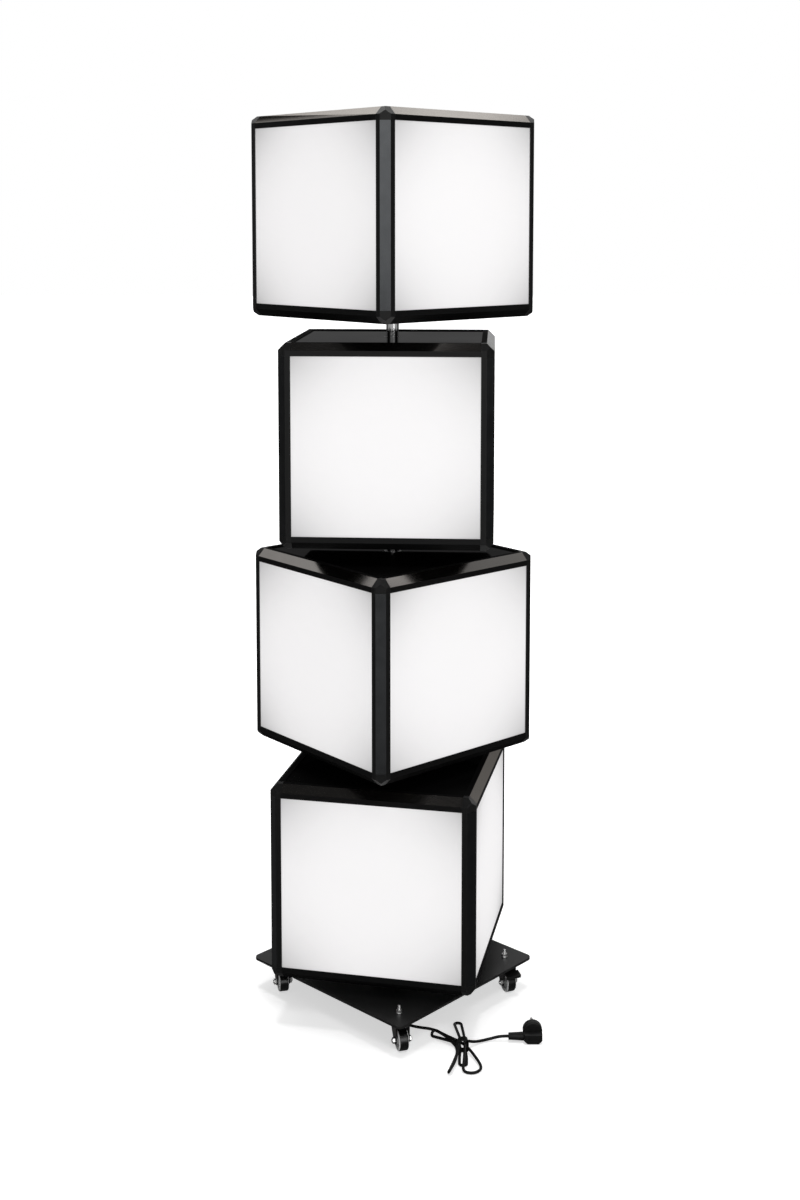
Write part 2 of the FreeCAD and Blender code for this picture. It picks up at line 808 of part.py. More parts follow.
def build_cord():
    """One route in three tubes, cut halfway along the runs that lead into and out of the hank."""
    points = cord_route()
    edges, radii = rounded_edges(points)
    print("radii " + " ".join("%.1f" % radius for radius in radii))
    print("least gap of the cord to itself %.2f" % least_self_gap(edges))
    into = 2 * (len(lead_route) - 1)
    out = 2 * (len(points) - len(tail_route) - 1)
    lead_end, hank_start = halved(edges[into])
    hank_end, tail_start = halved(edges[out])
    export("power_cord_lead", [cord_tube(edges[:into] + [lead_end])])
    export("power_cord_hank", [cord_tube([hank_start] + edges[into + 1:out] + [hank_end])])
    export("power_cord_tail", [cord_tube([tail_start] + edges[out + 1:])])


def rounded_bar(left, right, bottom, top, length, radius):
    """Bar along Y, centred on the origin, whose long edges are rounded."""
    bar = Part.makeBox(right - left, length, top - bottom, Vector(left, -length / 2, bottom))
    long_edges = [edge for edge in bar.Edges if edge.BoundBox.YLength > length / 2]
    return bar.makeFillet(radius, long_edges)


def cord_tie():
    """Closed band that holds the hank's strands together at the waist."""
    outer_radius = tie_corner_radius + tie_thickness
    top = 2 * tie_thickness + tie_height
    outer = rounded_bar(-tie_left - tie_thickness, tie_right + tie_thickness, 0, top, tie_width, outer_radius)
    bottom = tie_thickness
    length = tie_width + 2 * overrun
    room = rounded_bar(-tie_left, tie_right, bottom, bottom + tie_height, length, tie_corner_radius)
    return moved(turned(outer.cut(room), hank_axis_degrees + 90), hank_waist[0], hank_waist[1], 0)


def plug_disc(front):
    """Round front part of the plug about Y, resting on the floor under the origin."""
    radius = plug_diameter / 2
    start = Vector(0, front - plug_disc_length, radius)
    body = Part.makeCylinder(radius, plug_disc_length, start, ALONG_Y)
    rims = [edge for edge in body.Edges if edge.BoundBox.YMax < front]
    body = body.makeFillet(plug_disc_rounding, rims)
    rims = [edge for edge in body.Edges if edge.BoundBox.YMin > front - plug_front_chamfer]
    return body.makeChamfer(plug_front_chamfer, rims)


def plug_housing(front):
    """Back part of the plug, flat underneath, with its two lower edges sloped off."""
    back = front - plug_length
    length = plug_length - plug_disc_length + plug_disc_rounding + overrun
    corner = Vector(-plug_housing_width / 2, back, 0)
    body = Part.makeBox(plug_housing_width, length, plug_housing_height, corner)
    low = [edge for edge in body.Edges if edge.BoundBox.ZMax < overrun and edge.BoundBox.YLength > overrun]
    body = body.makeChamfer(plug_housing_chamfer, low)
    rims = [edge for edge in body.Edges if edge.BoundBox.YMax < back + overrun]
    return body.makeFillet(plug_housing_rounding, rims)


def power_plug():
    """Round angled plug lying on its side: moulded body with a tapered neck, then its two bare pins."""
    radius = plug_diameter / 2
    tip = Vector(*plug_neck_tip)
    centre_x = tip.x + plug_neck_length + radius
    front = tip.y + plug_length / 2
    neck_root = plug_neck_root_diameter / 2
    neck_length = plug_neck_length + neck_root
    neck = Part.makeCone(plug_neck_tip_diameter / 2, neck_root, neck_length, tip, ALONG_X)
    body = moved(plug_disc(front), centre_x, 0, 0)
    body = body.multiFuse([moved(plug_housing(front), centre_x, 0, 0), neck]).removeSplitter()
    pins = []
    for side in (-1, 1):
        foot = Vector(centre_x, front, radius + side * plug_pin_spacing / 2)
        pin = Part.makeCylinder(plug_pin_diameter / 2, plug_pin_length, foot, ALONG_Y)
        nose = [edge for edge in pin.Edges if edge.BoundBox.YMin > front]
        pins.append(pin.makeFillet(plug_pin_diameter / 4, nose))
    return [body] + pins


os.makedirs("parts", exist_ok=True)
build_cubes()
build_castors()
export("pole", [pole()])
export("pole_cap", [pole_cap()])
export("pole_foot", [pole_foot()])
export("support_collars", support_collars())
export("light_cores", light_cores())
export("led_strips", led_strips())
export("base_plate", [base_plate()])
export("base_hardware", base_hardware())
export("cable_entry", [cable_entry()])
build_cord()
export("cord_tie", [cord_tie()])
export("power_plug", power_plug())
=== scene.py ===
import math

import bmesh
import bpy
from mathutils import Matrix, Vector


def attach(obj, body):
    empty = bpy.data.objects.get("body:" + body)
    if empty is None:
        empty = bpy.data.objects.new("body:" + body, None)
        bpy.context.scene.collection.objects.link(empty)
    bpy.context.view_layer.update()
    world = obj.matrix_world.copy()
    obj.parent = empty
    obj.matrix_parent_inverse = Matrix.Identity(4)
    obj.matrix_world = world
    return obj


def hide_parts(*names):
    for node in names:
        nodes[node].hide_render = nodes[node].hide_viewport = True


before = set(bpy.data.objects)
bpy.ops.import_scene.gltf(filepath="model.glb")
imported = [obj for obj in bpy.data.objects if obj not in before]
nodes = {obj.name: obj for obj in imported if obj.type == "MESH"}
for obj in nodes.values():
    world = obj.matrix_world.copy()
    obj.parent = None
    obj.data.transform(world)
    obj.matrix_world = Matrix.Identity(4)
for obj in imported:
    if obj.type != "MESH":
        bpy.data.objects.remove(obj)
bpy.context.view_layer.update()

scene = bpy.context.scene

# Camera, in metres and degrees, for a frame of 800 by 1200
camera_place = (0.0146, -3.0339, 1.550)
camera_pitch_degrees = 5.489
camera_focal_share = 1553.6 / 1200.0
camera_shift = -0.19
camera_reach = 100.0
sensor_width_mm = 36.0

# Tower, in metres, as the frame has it at rest
cube_turns_degrees = (-12.1, 40.7, -3.6, 42.6)
cube_bottoms = (0.094, 0.519, 0.944, 1.369)
cube_height = 0.386
panel_half_width = 0.1755
panel_half_height = 0.1685
plate_top = 0.064
plate_width = 0.391
plate_depth = 0.411
plate_turn_degrees = 46.5
castor_inset = 0.040
# Castors: signs of their place along the plate's two sides, and heading in degrees
castors = {
    "front": (-1, -1, -74.0),
    "right": (1, -1, -68.0),
    "back": (1, 1, -70.0),
    "left": (-1, 1, -76.0),
}
braked_castors = ("right", "back")
tread_half_width = 0.0082
stud_thread_start = plate_top + 0.0064
stud_thread_pitch = 0.001
bush_ring_waves = 5200.0
strip_dots_per_metre = 60.0
strip_dot_half_share = 0.22
strip_dot_colour = (0.9, 0.8, 0.4, 1)
strip_dot_light = (1.0, 0.97, 0.9, 1)
zinc_blue = (0.72, 0.73, 0.75, 1)
zinc_yellow = (0.88, 0.87, 0.84, 1)
plug_front = -0.199
pin_start = plug_front + 0.0002

# Rounds on sharp edges
join_distance = 0.00001
round_angle_degrees = 32.0
round_segments = 2
frame_round = 0.0004
plate_round = 0.0006
castor_round = 0.0003
pedal_round = 0.0005

# Panels: their light, its tint, and how much of it goes at the edges and in the corners
panel_glow = 0.69
panel_tint = (1.0, 0.985, 0.992)
panel_edge_fade = 0.10
panel_corner_fade = 0.36

# Faces told apart by their normal: the upward share on sloped and upright faces of the rails, where
# the sloped faces carry a painted highlight, and the lesser of the two level shares on the cut
# corners of the posts
sloped_share = (0.6, 0.8)
upright_share = 0.3
cut_corner_share = 0.5

# Floor and room. What mirrors show of the room is dark, but for a bright sheet behind the tower,
# with a dark gap over its foot, and a bright place straight in front
floor_size = 60.0
floor_drop = 0.0004
floor_colour = (0.80, 0.80, 0.80, 1)
floor_glow_reach = (0.35, 1.6)
floor_glow_near = 0.58
floor_glow_far = 1.0
floor_mirror_reach = (1.0, 2.4)
floor_mirror_near = 0.10
floor_mirror_front = 0.42
world_white = (1.0, 1.0, 1.0, 1)
ambient_strength = 0.25
room_strength = 0.03
room_facing_strength = 1.6
room_facing_edge = (0.55, 0.97)
room_edge = (0.12, 0.5)
room_gap_foot = (0.12, 0.32)
room_gap_top = (0.42, 0.60)
# Light from straight above, whose shadows are soft by the angle that its source spans
overhead_strength = 1.35
overhead_angle_degrees = 16.0
# Lamps: width and depth, place, power, and the point that they face
lamps = {
    "behind": {
        "size": (4.6, 1.2),
        "place": (0.0, 2.3, 4.5),
        "power": 34.0,
        "target": (0.0, 0.0, 1.4),
    },
    "front": {
        "size": (0.5, 2.2),
        "place": (1.7, -3.4, 1.9),
        "power": 12.0,
        "target": (0.0, 0.0, 0.8),
    },
    "key": {
        "size": (0.9, 0.9),
        "place": (0.7, -2.6, 3.4),
        "power": 24.0,
        "target": (0.0, 0.0, 0.6),
    },
}

# Mains cord: route in metres from the boot, over the floor, to the plug's neck
cord_diameter = 0.0055
cord_curve_order = 3
cord_run_steps = 8
cord_ring_steps = 4
lying = cord_diameter / 2
cord_exit = (0.0, -0.042, 0.050)
lead_route = (
    cord_exit,
    (0.0, -0.062, 0.050),
    (0.004, -0.088, 0.039),
    (0.007, -0.112, 0.020),
    (0.013, -0.136, 0.0065),
    (0.027, -0.157, lying),
    (0.052, -0.168, lying),
    (0.077, -0.173, lying),
    (0.097, -0.192, lying),
    (0.111, -0.216, lying),
)
tail_route = (
    (0.154, -0.230, 0.0075),
    (0.171, -0.2175, 0.0034),
    (0.190, -0.212, 0.0052),
    (0.206, -0.213, 0.010),
    (0.221, -0.213, 0.010),
)
hank_waist = (0.133, -0.245)
hank_axis_degrees = -82.0
hank_layer = 0.0074
# Tie: outline across the waist and over the floor, and the turns along it
tie_lift = 0.0013
tie_outline = (
    (-0.0134, 0.0010),
    (-0.0136, 0.0066),
    (-0.0086, 0.0214),
    (-0.0056, 0.0236),
    (0.0060, 0.0236),
    (0.0090, 0.0212),
    (0.0094, 0.0090),
    (0.0084, 0.0010),
)
tie_turns = 5
tie_pitch = 0.0033
tie_swell = 1.07
tie_wall = 0.0012
tie_corner = 0.002
tie_corner_segments = 4
tie_round_levels = 2
tie_place = 0.002
# Each pass of the waist: place across it, and layer
hank_passes = ((-0.0094, 0), (-0.0038, 2), (0.0038, 0), (-0.0034, 1), (0.0048, 1), (0.0038, 2))
# Each loop: heading and lean in degrees, reach, fold radius, half width and lift of the strand
# out and of the strand back, and the share of the reach at which those two are given
hank_loops = (
    {"heading": 252.0, "lean": 115.0, "reach": 0.092, "fold_radius": 0.0064,
     "out": (0.0034, 0.0), "back": (0.0034, 0.0065), "middle_share": 0.5},
    {"heading": 94.0, "lean": 0.0, "reach": 0.095, "fold_radius": 0.0066,
     "out": (0.0060, 0.0105), "back": (0.0075, 0.0), "middle_share": 0.45},
    {"heading": 268.0, "lean": 0.0, "reach": 0.060, "fold_radius": 0.0066,
     "out": (0.0070, 0.0), "back": (0.0066, 0.0024), "middle_share": 0.5},
    {"heading": 138.0, "lean": 42.0, "reach": 0.077, "fold_radius": 0.0064,
     "out": (0.0048, 0.0048), "back": (0.0048, 0.0014), "middle_share": 0.5},
    {"heading": 280.0, "lean": 0.0, "reach": 0.088, "fold_radius": 0.018,
     "out": (0.020, 0.0020), "back": (0.010, 0.010), "middle_share": 0.66},
)
fold_angle_degrees = 30.0


class Value:
    """A socket of a finish, on which sums are written as Python expressions."""

    def __init__(self, finish, socket):
        self.finish = finish
        self.socket = socket

    def math(self, operation, *operands):
        return self.finish.node("Math", dict(enumerate(operands)), {"operation": operation})

    def __add__(self, other):
        return self.math("ADD", self, other)

    def __sub__(self, other):
        return self.math("SUBTRACT", self, other)

    def __rsub__(self, other):
        return self.math("SUBTRACT", other, self)

    def __mul__(self, other):
        return self.math("MULTIPLY", self, other)

    def __truediv__(self, other):
        return self.math("DIVIDE", self, other)

    def __pow__(self, other):
        return self.math("POWER", self, other)

    def __abs__(self):
        return self.math("ABSOLUTE", self)

    def __gt__(self, other):
        return self.math("GREATER_THAN", self, other)

    def __lt__(self, other):
        return self.math("LESS_THAN", self, other)

    def smaller(self, other):
        return self.math("MINIMUM", self, other)

    def larger(self, other):
        return self.math("MAXIMUM", self, other)

    def root(self):
        return self.math("SQRT", self)

    def sine(self):
        return self.math("SINE", self)

    def fraction(self):
        return self.math("FRACT", self)

    __radd__ = __add__
    __rmul__ = __mul__


class Finish:
    """A material, or the world, whose nodes are added one by one."""

    def __init__(self, owner):
        owner.use_nodes = True
        self.owner = owner
        self.tree = owner.node_tree
        self.tree.nodes.clear()

    def node(self, kind, inputs=None, settings=None, output=0):
        """Adds a node and gives its output; an input is a number, a colour or another output."""
        made = self.tree.nodes.new("ShaderNode" + kind)
        for name, value in (settings or {}).items():
            setattr(made, name, value)
        for name, value in (inputs or {}).items():
            if isinstance(value, Value):
                self.tree.links.new(value.socket, made.inputs[name])
            else:
                made.inputs[name].default_value = value
        return Value(self, made.outputs[output]) if made.outputs else None

    def place(self, turn_degrees=0.0):
        """Object coordinates, turned back about the pole by a cube's turn."""
        point = self.node("TexCoord", output="Object")
        return self.turned(point, turn_degrees) if turn_degrees else point

    def turned(self, vector, degrees):
        """A vector turned back about the pole."""
        return self.node("Mapping", {"Vector": vector, "Rotation": (0, 0, -math.radians(degrees))})

    def axes(self, point):
        """The three numbers of a vector."""
        split = self.node("SeparateXYZ", {0: point})
        return [Value(self, socket) for socket in split.socket.node.outputs]

    def noise(self, scale, detail=2.0, point=None):
        point = point or self.place()
        return self.node("TexNoise", {"Vector": point, "Scale": scale, "Detail": detail})

    def stretched(self, scales):
        """Object coordinates stretched along the axes, for grain that runs one way."""
        return self.node("Mapping", {"Vector": self.place(), "Scale": scales})

    def blend(self, share, first, second):
        """Mix of two colours."""
        inputs = {0: share, 6: first, 7: second}
        return self.node("Mix", inputs, {"data_type": "RGBA"}, output=2)

    def step(self, value, start, end, low=0.0, high=1.0):
        """Soft step from one level to another between two values."""
        inputs = {"Value": value, "From Min": start, "From Max": end, "To Min": low, "To Max": high}
        return self.node("MapRange", inputs, {"interpolation_type": "SMOOTHSTEP"})

    def bump(self, height, distance, strength):
        return self.node("Bump", {"Height": height, "Distance": distance, "Strength": strength})

    def surface(self, **sockets):
        """Ends the finish with one shader, whose sockets are given by name."""
        named = {name.replace("_", " "): value for name, value in sockets.items()}
        self.end(self.node("BsdfPrincipled", named))

    def end(self, shader):
        """Ends the finish with a shader that other nodes made."""
        kind = "OutputWorld" if isinstance(self.owner, bpy.types.World) else "OutputMaterial"
        self.node(kind, {"Surface": shader})


def new_finish(name):
    return Finish(bpy.data.materials.new(name))


def grey(level, warm=0.0):
    """A grey, or with some warmth a brownish one, or a bluish one below zero."""
    return (level * (1 + warm), level, level * (1 - warm), 1)


def dress(finish, *names):
    """Gives CAD nodes a finish."""
    for name in names:
        piece = nodes[name]
        piece.data.materials.clear()
        piece.data.materials.append(finish.owner)


def soften(width, *names):
    """Small rounds on a CAD node's sharp edges; its loose triangles are joined first."""
    for name in names:
        piece = nodes[name]
        weld = piece.modifiers.new("join", "WELD")
        weld.merge_threshold = join_distance
        bevel = piece.modifiers.new("rounds", "BEVEL")
        bevel.width = width
        bevel.segments = round_segments
        bevel.limit_method = "ANGLE"
        bevel.angle_limit = math.radians(round_angle_degrees)
        bevel.harden_normals = True


# Cord

def hank_pass(across_waist, layer):
    """Point where one strand goes through the hank's waist."""
    axis = math.radians(hank_axis_degrees)
    waist = Vector((*hank_waist, lying + tie_lift + hank_layer * layer))
    return waist + Vector((-math.sin(axis), math.cos(axis), 0)) * across_waist


def hank_loop(heading, lean, reach, fold_radius, out, back, middle_share):
    """Points of one loop: the strand out, the fold at its tip, and the strand back.
    A long strand has one more point beside the fold, as far from its corner as the tip is."""
    turn = math.radians(heading)
    tilt = math.radians(lean)
    up = Vector((0, 0, 1))
    waist = Vector((*hank_waist, lying))
    along = Vector((math.cos(turn), math.sin(turn), 0))
    level = Vector((math.sin(turn), -math.cos(turn), 0))
    across = level * math.cos(tilt) + up * math.sin(tilt)

    def strand(distance, side, half_width, lift):
        rise = half_width * math.sin(tilt) + lift
        return waist + along * distance + across * (side * half_width) + up * rise

    fold_angle = math.radians(fold_angle_degrees)
    corner = reach - fold_radius / math.cos(fold_angle) + fold_radius * math.tan(fold_angle)
    middle = middle_share * reach
    tip = waist + along * reach + up * (fold_radius * math.sin(tilt))
    out_run = [strand(middle, -1, *out), strand(corner, -1, fold_radius, 0)]
    back_run = [strand(middle, 1, *back), strand(corner, 1, fold_radius, 0)]
    for run in (out_run, back_run):
        step = (tip - run[1]).length
        if (run[0] - run[1]).length > 2 * step:
            run.insert(1, run[1] + (run[0] - run[1]).normalized() * step)
    return out_run + [tip] + back_run[::-1]


def cord_route():
    """All points of the cord, from the boot to the plug."""
    points = [Vector(place) for place in lead_route]
    for place, loop in zip(hank_passes, hank_loops):
        points.append(hank_pass(*place))
        points += hank_loop(**loop)
    points.append(hank_pass(*hank_passes[-1]))
    return points + [Vector(place) for place in tail_route]


def mains_cord(finish, tie):
    """The whole cord as one round curve, in place of the cord's CAD nodes, which are hidden."""
    curve = bpy.data.curves.new("mains_cord", "CURVE")
    curve.dimensions = "3D"
    spline = curve.splines.new("NURBS")
    route = cord_route()
    spline.points.add(len(route) - 1)
    for point, place in zip(spline.points, route):
        point.co = (*place, 1)
    spline.order_u = cord_curve_order
    spline.use_endpoint_u = True
    spline.resolution_u = cord_run_steps
    curve.bevel_depth = cord_diameter / 2
    curve.bevel_resolution = cord_ring_steps
    curve.use_fill_caps = True
    curve.materials.append(finish.owner)
    cord = bpy.data.objects.new("mains_cord", curve)
    scene.collection.objects.link(cord)
    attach(cord, "base")
    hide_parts("power_cord_lead", "power_cord_hank", "power_cord_tail")


def tied_waist(finish):
    """Turns of a thin band round the hank's waist, drawn tight over its strands."""
    mesh = bpy.data.meshes.new("hank_tie")
    shape = bmesh.new()
    start = -tie_turns * tie_pitch / 2
    shape.faces.new([shape.verts.new((start, *point)) for point in tie_outline])
    bmesh.ops.bevel(
        shape,
        geom=shape.verts[:],
        offset=tie_corner,
        affect="VERTICES",
        segments=tie_corner_segments,
        profile=0.5,
        material=-1,
    )
    centre = sum((Vector(point) for point in tie_outline), Vector((0, 0))) / len(tie_outline)
    middle = Matrix.Translation((0, *centre))
    ring = shape.edges[:]
    bmesh.ops.delete(shape, geom=shape.faces[:], context="FACES_ONLY")
    for half_turn in range(2 * tie_turns):
        made = bmesh.ops.extrude_edge_only(shape, edges=ring)["geom"]
        ring = [item for item in made if isinstance(item, bmesh.types.BMEdge)]
        ring_verts = [item for item in made if isinstance(item, bmesh.types.BMVert)]
        swell = 1 / tie_swell if half_turn % 2 else tie_swell
        bmesh.ops.translate(shape, vec=(tie_pitch / 2, 0, 0), verts=ring_verts)
        bmesh.ops.scale(shape, vec=(1, swell, swell), space=middle.inverted(), verts=ring_verts)
    bmesh.ops.recalc_face_normals(shape, faces=shape.faces)
    turn = Matrix.Rotation(math.radians(hank_axis_degrees), 4, "Z")
    waist = Matrix.Translation((*hank_waist, 0))
    place = waist @ turn @ Matrix.Translation((tie_place, 0, 0))
    bmesh.ops.transform(shape, matrix=place, verts=shape.verts)
    for face in shape.faces:
        face.smooth = True
    shape.to_mesh(mesh)
    shape.free()
    tie = bpy.data.objects.new("hank_tie", mesh)
    scene.collection.objects.link(tie)
    wall = tie.modifiers.new("wall", "SOLIDIFY")
    wall.thickness = tie_wall
    rounds = tie.modifiers.new("rounds", "SUBSURF")
    rounds.levels = rounds.render_levels = tie_round_levels
    mesh.materials.append(finish.owner)
    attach(tie, "base")
    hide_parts("cord_tie")
    return tie


# Finishes

def opal_panel(level):
    """Opal acrylic lit from behind, a little darker towards the edges and corners."""
    finish = new_finish("opal_panel_%d" % (level + 1))
    x, y, z = finish.axes(finish.place(cube_turns_degrees[level]))
    across = abs(x).smaller(abs(y)) / panel_half_width
    upright = abs(z - (cube_bottoms[level] + cube_height / 2)) / panel_half_height
    edges = across ** 3 + upright ** 3
    corners = (across ** 2) * (upright ** 2)
    glow = panel_glow * (1 - (edges * panel_edge_fade + corners * panel_corner_fade))
    colour = finish.node("CombineColor", {i: glow * share for i, share in enumerate(panel_tint)})
    finish.surface(
        Base_Color=grey(0.40),
        Roughness=0.30 + finish.noise(scale=60.0) * 0.06,
        Specular_IOR_Level=0.0,
        Emission_Color=colour,
        Emission_Strength=1.0,
    )
    return finish


def black_frame():
    """Black anodised profile; its upward-sloped faces are given a smoother, warm grey metallic
    finish that mirrors more than its flats, as a painted highlight.
    """
    finish = new_finish("black_anodised_profile")
    normal = finish.node("NewGeometry", output="Normal")
    slope = finish.axes(normal)[2]
    painted_highlight_faces = (slope > sloped_share[0]) * (slope < sloped_share[1])
    upright = abs(slope) < upright_share
    grain = finish.noise(scale=900.0, detail=3.0)
    mottle = finish.noise(scale=35.0, detail=4.0)
    finish.surface(
        # Painted highlight: the upward-sloped faces get a warm grey metallic colour that mirrors
        # more than the black flats.
        Base_Color=finish.blend(painted_highlight_faces, grey(0.005), grey(0.26, warm=0.05)),
        Metallic=painted_highlight_faces,
        Roughness=(0.34 + mottle * 0.10) * (1 - painted_highlight_faces * 0.55),
        Specular_IOR_Level=0.0,
        Specular_Tint=grey(0.15),
        Coat_Weight=0.04 + upright * 0.32,
        Coat_Roughness=0.3,
        Normal=finish.bump(grain, distance=0.00004, strength=0.5),
    )
    return finish


def black_post(level):
    """Black anodised upright with fine lines along it, whose cut corner mirrors more."""
    finish = new_finish("black_anodised_upright_%d" % (level + 1))
    normal = finish.turned(finish.node("TexCoord", output="Normal"), cube_turns_degrees[level])
    x, y = finish.axes(normal)[:2]
    cut = abs(x).smaller(abs(y)) > cut_corner_share
    lines = finish.noise(scale=1.0, detail=3.0, point=finish.stretched((900.0, 900.0, 18.0)))
    mottle = finish.noise(scale=40.0, detail=4.0)
    mirror = finish.blend(mottle, grey(0.05, warm=-0.04), grey(0.09, warm=-0.04))
    finish.surface(
        Base_Color=finish.blend(cut, grey(0.008), mirror),
        Metallic=cut,
        Roughness=0.30 + mottle * 0.12 - cut * 0.16,
        Specular_IOR_Level=0.18,
        Normal=finish.bump(lines, distance=0.00003, strength=0.5),
    )
    return finish


def moulded_corner():
    """Moulded black corner cap with a fine spark grain."""
    finish = new_finish("moulded_corner_cap")
    grain = finish.noise(scale=1400.0, detail=2.0)
    finish.surface(
        Base_Color=finish.blend(finish.noise(scale=25.0), grey(0.006), grey(0.012)),
        Roughness=0.26 + grain * 0.16,
        Specular_IOR_Level=0.18,
        Normal=finish.bump(grain, distance=0.00005, strength=0.5),
    )
    return finish


def black_sheet():
    """Polished black acrylic with a faint haze."""
    finish = new_finish("polished_black_sheet")
    haze = finish.noise(scale=14.0, detail=5.0)
    wave = finish.noise(scale=9.0, detail=1.0)
    finish.surface(
        Base_Color=finish.blend(haze, grey(0.003), grey(0.007)),
        Roughness=0.5,
        Specular_IOR_Level=0.0,
        Coat_Weight=0.07 + haze * 0.03,
        Coat_Roughness=0.04,
        Normal=finish.bump(wave, distance=0.0006, strength=0.15),
    )
    return finish


def turned_plastic():
    """Black plastic with the rings that turning leaves."""
    finish = new_finish("turned_acetal")
    x, y = finish.axes(finish.place())[:2]
    radius = (x * x + y * y).root()
    rings = (radius * bush_ring_waves).sine()
    finish.surface(
        Base_Color=finish.blend(finish.noise(scale=120.0), grey(0.02), grey(0.04)),
        Roughness=0.42,
        Normal=finish.bump(rings, distance=0.00003, strength=0.5),
    )
    return finish


def chrome():
    """Chrome, polished along the pole."""
    finish = new_finish("polished_chrome")
    lines = finish.noise(scale=1.0, detail=3.0, point=finish.stretched((600.0, 600.0, 6.0)))
    finish.surface(
        Base_Color=finish.blend(lines, grey(0.66), grey(0.78)),
        Metallic=1.0,
        Roughness=0.05 + lines * 0.06,
    )
    return finish


def turned_steel():
    """Plain steel with the rings that turning leaves."""
    finish = new_finish("turned_steel")
    rings = finish.noise(scale=1.0, detail=2.0, point=finish.stretched((60.0, 60.0, 4000.0)))
    finish.surface(
        Base_Color=finish.blend(rings, grey(0.36), grey(0.52)),
        Metallic=1.0,
        Roughness=0.28 + rings * 0.16,
        Normal=finish.bump(rings, distance=0.00002, strength=0.5),
    )
    return finish


def white_coat():
    """White coat on the light cores."""
    finish = new_finish("white_coated_core")
    peel = finish.noise(scale=700.0, detail=2.0)
    finish.surface(
        Base_Color=grey(0.8),
        Roughness=0.45 + peel * 0.1,
        Normal=finish.bump(peel, distance=0.00004, strength=0.5),
    )
    return finish


def lit_strip():
    """Strip of light dots, at an even step along it."""
    finish = new_finish("lit_strip")
    z = finish.axes(finish.place())[2]
    step = (z * strip_dots_per_metre).fraction()
    dot = abs(step - 0.5) < strip_dot_half_share
    finish.surface(
        Base_Color=finish.blend(dot, grey(0.7), strip_dot_colour),
        Roughness=0.5,
        Emission_Color=finish.blend(dot, grey(0.3), strip_dot_light),
        Emission_Strength=1.0,
    )
    return finish


def powder_coat():
    """Black powder coat with an orange-peel texture."""
    finish = new_finish("black_powder_coat")
    peel = finish.noise(scale=420.0, detail=3.0)
    broad = finish.noise(scale=18.0, detail=4.0)
    finish.surface(
        Base_Color=finish.blend(broad, grey(0.010), grey(0.022)),
        Roughness=0.36 + broad * 0.12,
        Specular_IOR_Level=0.28,
        Normal=finish.bump(peel, distance=0.00012, strength=0.6),
    )
    return finish


def bright_zinc():
    """Zinc plate; the studs' ends over the nuts carry a thread."""
    finish = new_finish("bright_zinc")
    z = finish.axes(finish.place())[2]
    stud = z > stud_thread_start
    ridge = abs((z / stud_thread_pitch).fraction() - 0.5)
    blotch = finish.noise(scale=180.0, detail=4.0)
    finish.surface(
        Base_Color=finish.blend(blotch, zinc_blue, zinc_yellow),
        Metallic=1.0,
        Roughness=0.20 + blotch * 0.16,
        Normal=finish.bump(ridge * stud, distance=0.0006, strength=0.8),
    )
    return finish


def moulded_black(name, level, roughness, specular=0.4):
    """Moulded black plastic or paint with a fine grain."""
    finish = new_finish(name)
    grain = finish.noise(scale=900.0, detail=3.0)
    broad = finish.noise(scale=45.0, detail=4.0)
    finish.surface(
        Base_Color=finish.blend(broad, grey(level * 0.8), grey(level * 1.3)),
        Roughness=roughness + broad * 0.10,
        Specular_IOR_Level=specular,
        Normal=finish.bump(grain, distance=0.00005, strength=0.5),
    )
    return finish


def moulded_grey():
    """Pale grey plastic of the wheels' rims."""
    finish = new_finish("moulded_grey_rim")
    grain = finish.noise(scale=700.0, detail=3.0)
    finish.surface(
        Base_Color=finish.blend(finish.noise(scale=90.0, detail=3.0), grey(0.58), grey(0.68)),
        Roughness=0.32 + grain * 0.12,
        Normal=finish.bump(grain, distance=0.00004, strength=0.5),
    )
    return finish


def castor_tyre(name):
    """Glossy black tread between pale side walls, told apart by their place along the axle; the
    side walls' near-white colour is partly a painted highlight.
    """
    sign_x, sign_y, heading = castors[name]
    x = sign_x * (plate_width / 2 - castor_inset)
    y = sign_y * (plate_depth / 2 - castor_inset)
    angle = math.radians(plate_turn_degrees - heading)
    middle = x * math.sin(angle) + y * math.cos(angle)
    finish = new_finish("tyre_%s" % name)
    along_axle = abs(finish.axes(finish.place(heading))[1] - middle)
    wall = along_axle > tread_half_width
    scuff = finish.noise(scale=240.0, detail=4.0)
    finish.surface(
        # The side walls' near-white is partly their own pale colour and partly a painted highlight.
        Base_Color=finish.blend(wall, grey(0.004), grey(0.80)),
        Roughness=0.16 + scuff * 0.16 + wall * 0.2,
        Specular_IOR_Level=0.5,
        Normal=finish.bump(scuff, distance=0.00006, strength=0.5),
    )
    return finish


def plug_plastic():
    """Moulded plug body; what lies in front of its face is the bare plated pins."""
    finish = new_finish("moulded_plug")
    y = finish.axes(finish.place())[1]
    bare = y > pin_start
    grain = finish.noise(scale=1000.0, detail=3.0)
    finish.surface(
        Base_Color=finish.blend(bare, grey(0.007), grey(0.62, warm=0.02)),
        Metallic=bare,
        Roughness=0.40 + grain * 0.12 - bare * 0.2,
        Specular_IOR_Level=0.22,
        Normal=finish.bump(grain, distance=0.00004, strength=0.5),
    )
    return finish


# Studio

def make_camera():
    """Camera in front of the tower, with the lens shifted down."""
    camera = bpy.data.cameras.new("camera")
    camera.sensor_width = sensor_width_mm
    camera.lens = camera_focal_share * sensor_width_mm
    camera.shift_y = camera_shift
    camera.clip_end = camera_reach
    holder = bpy.data.objects.new("camera", camera)
    holder.location = camera_place
    holder.rotation_euler = (math.radians(90 - camera_pitch_degrees), 0, 0)
    scene.collection.objects.link(holder)
    scene.camera = holder


def ray_kind(finish, name):
    return finish.node("LightPath", output=name)


def seen_background(finish):
    """One where a ray looks at the background: from the camera, in a mirror or through glass."""
    seen = ray_kind(finish, "Is Camera Ray")
    for name in ("Is Glossy Ray", "Is Transmission Ray"):
        seen = seen.larger(ray_kind(finish, name))
    return seen


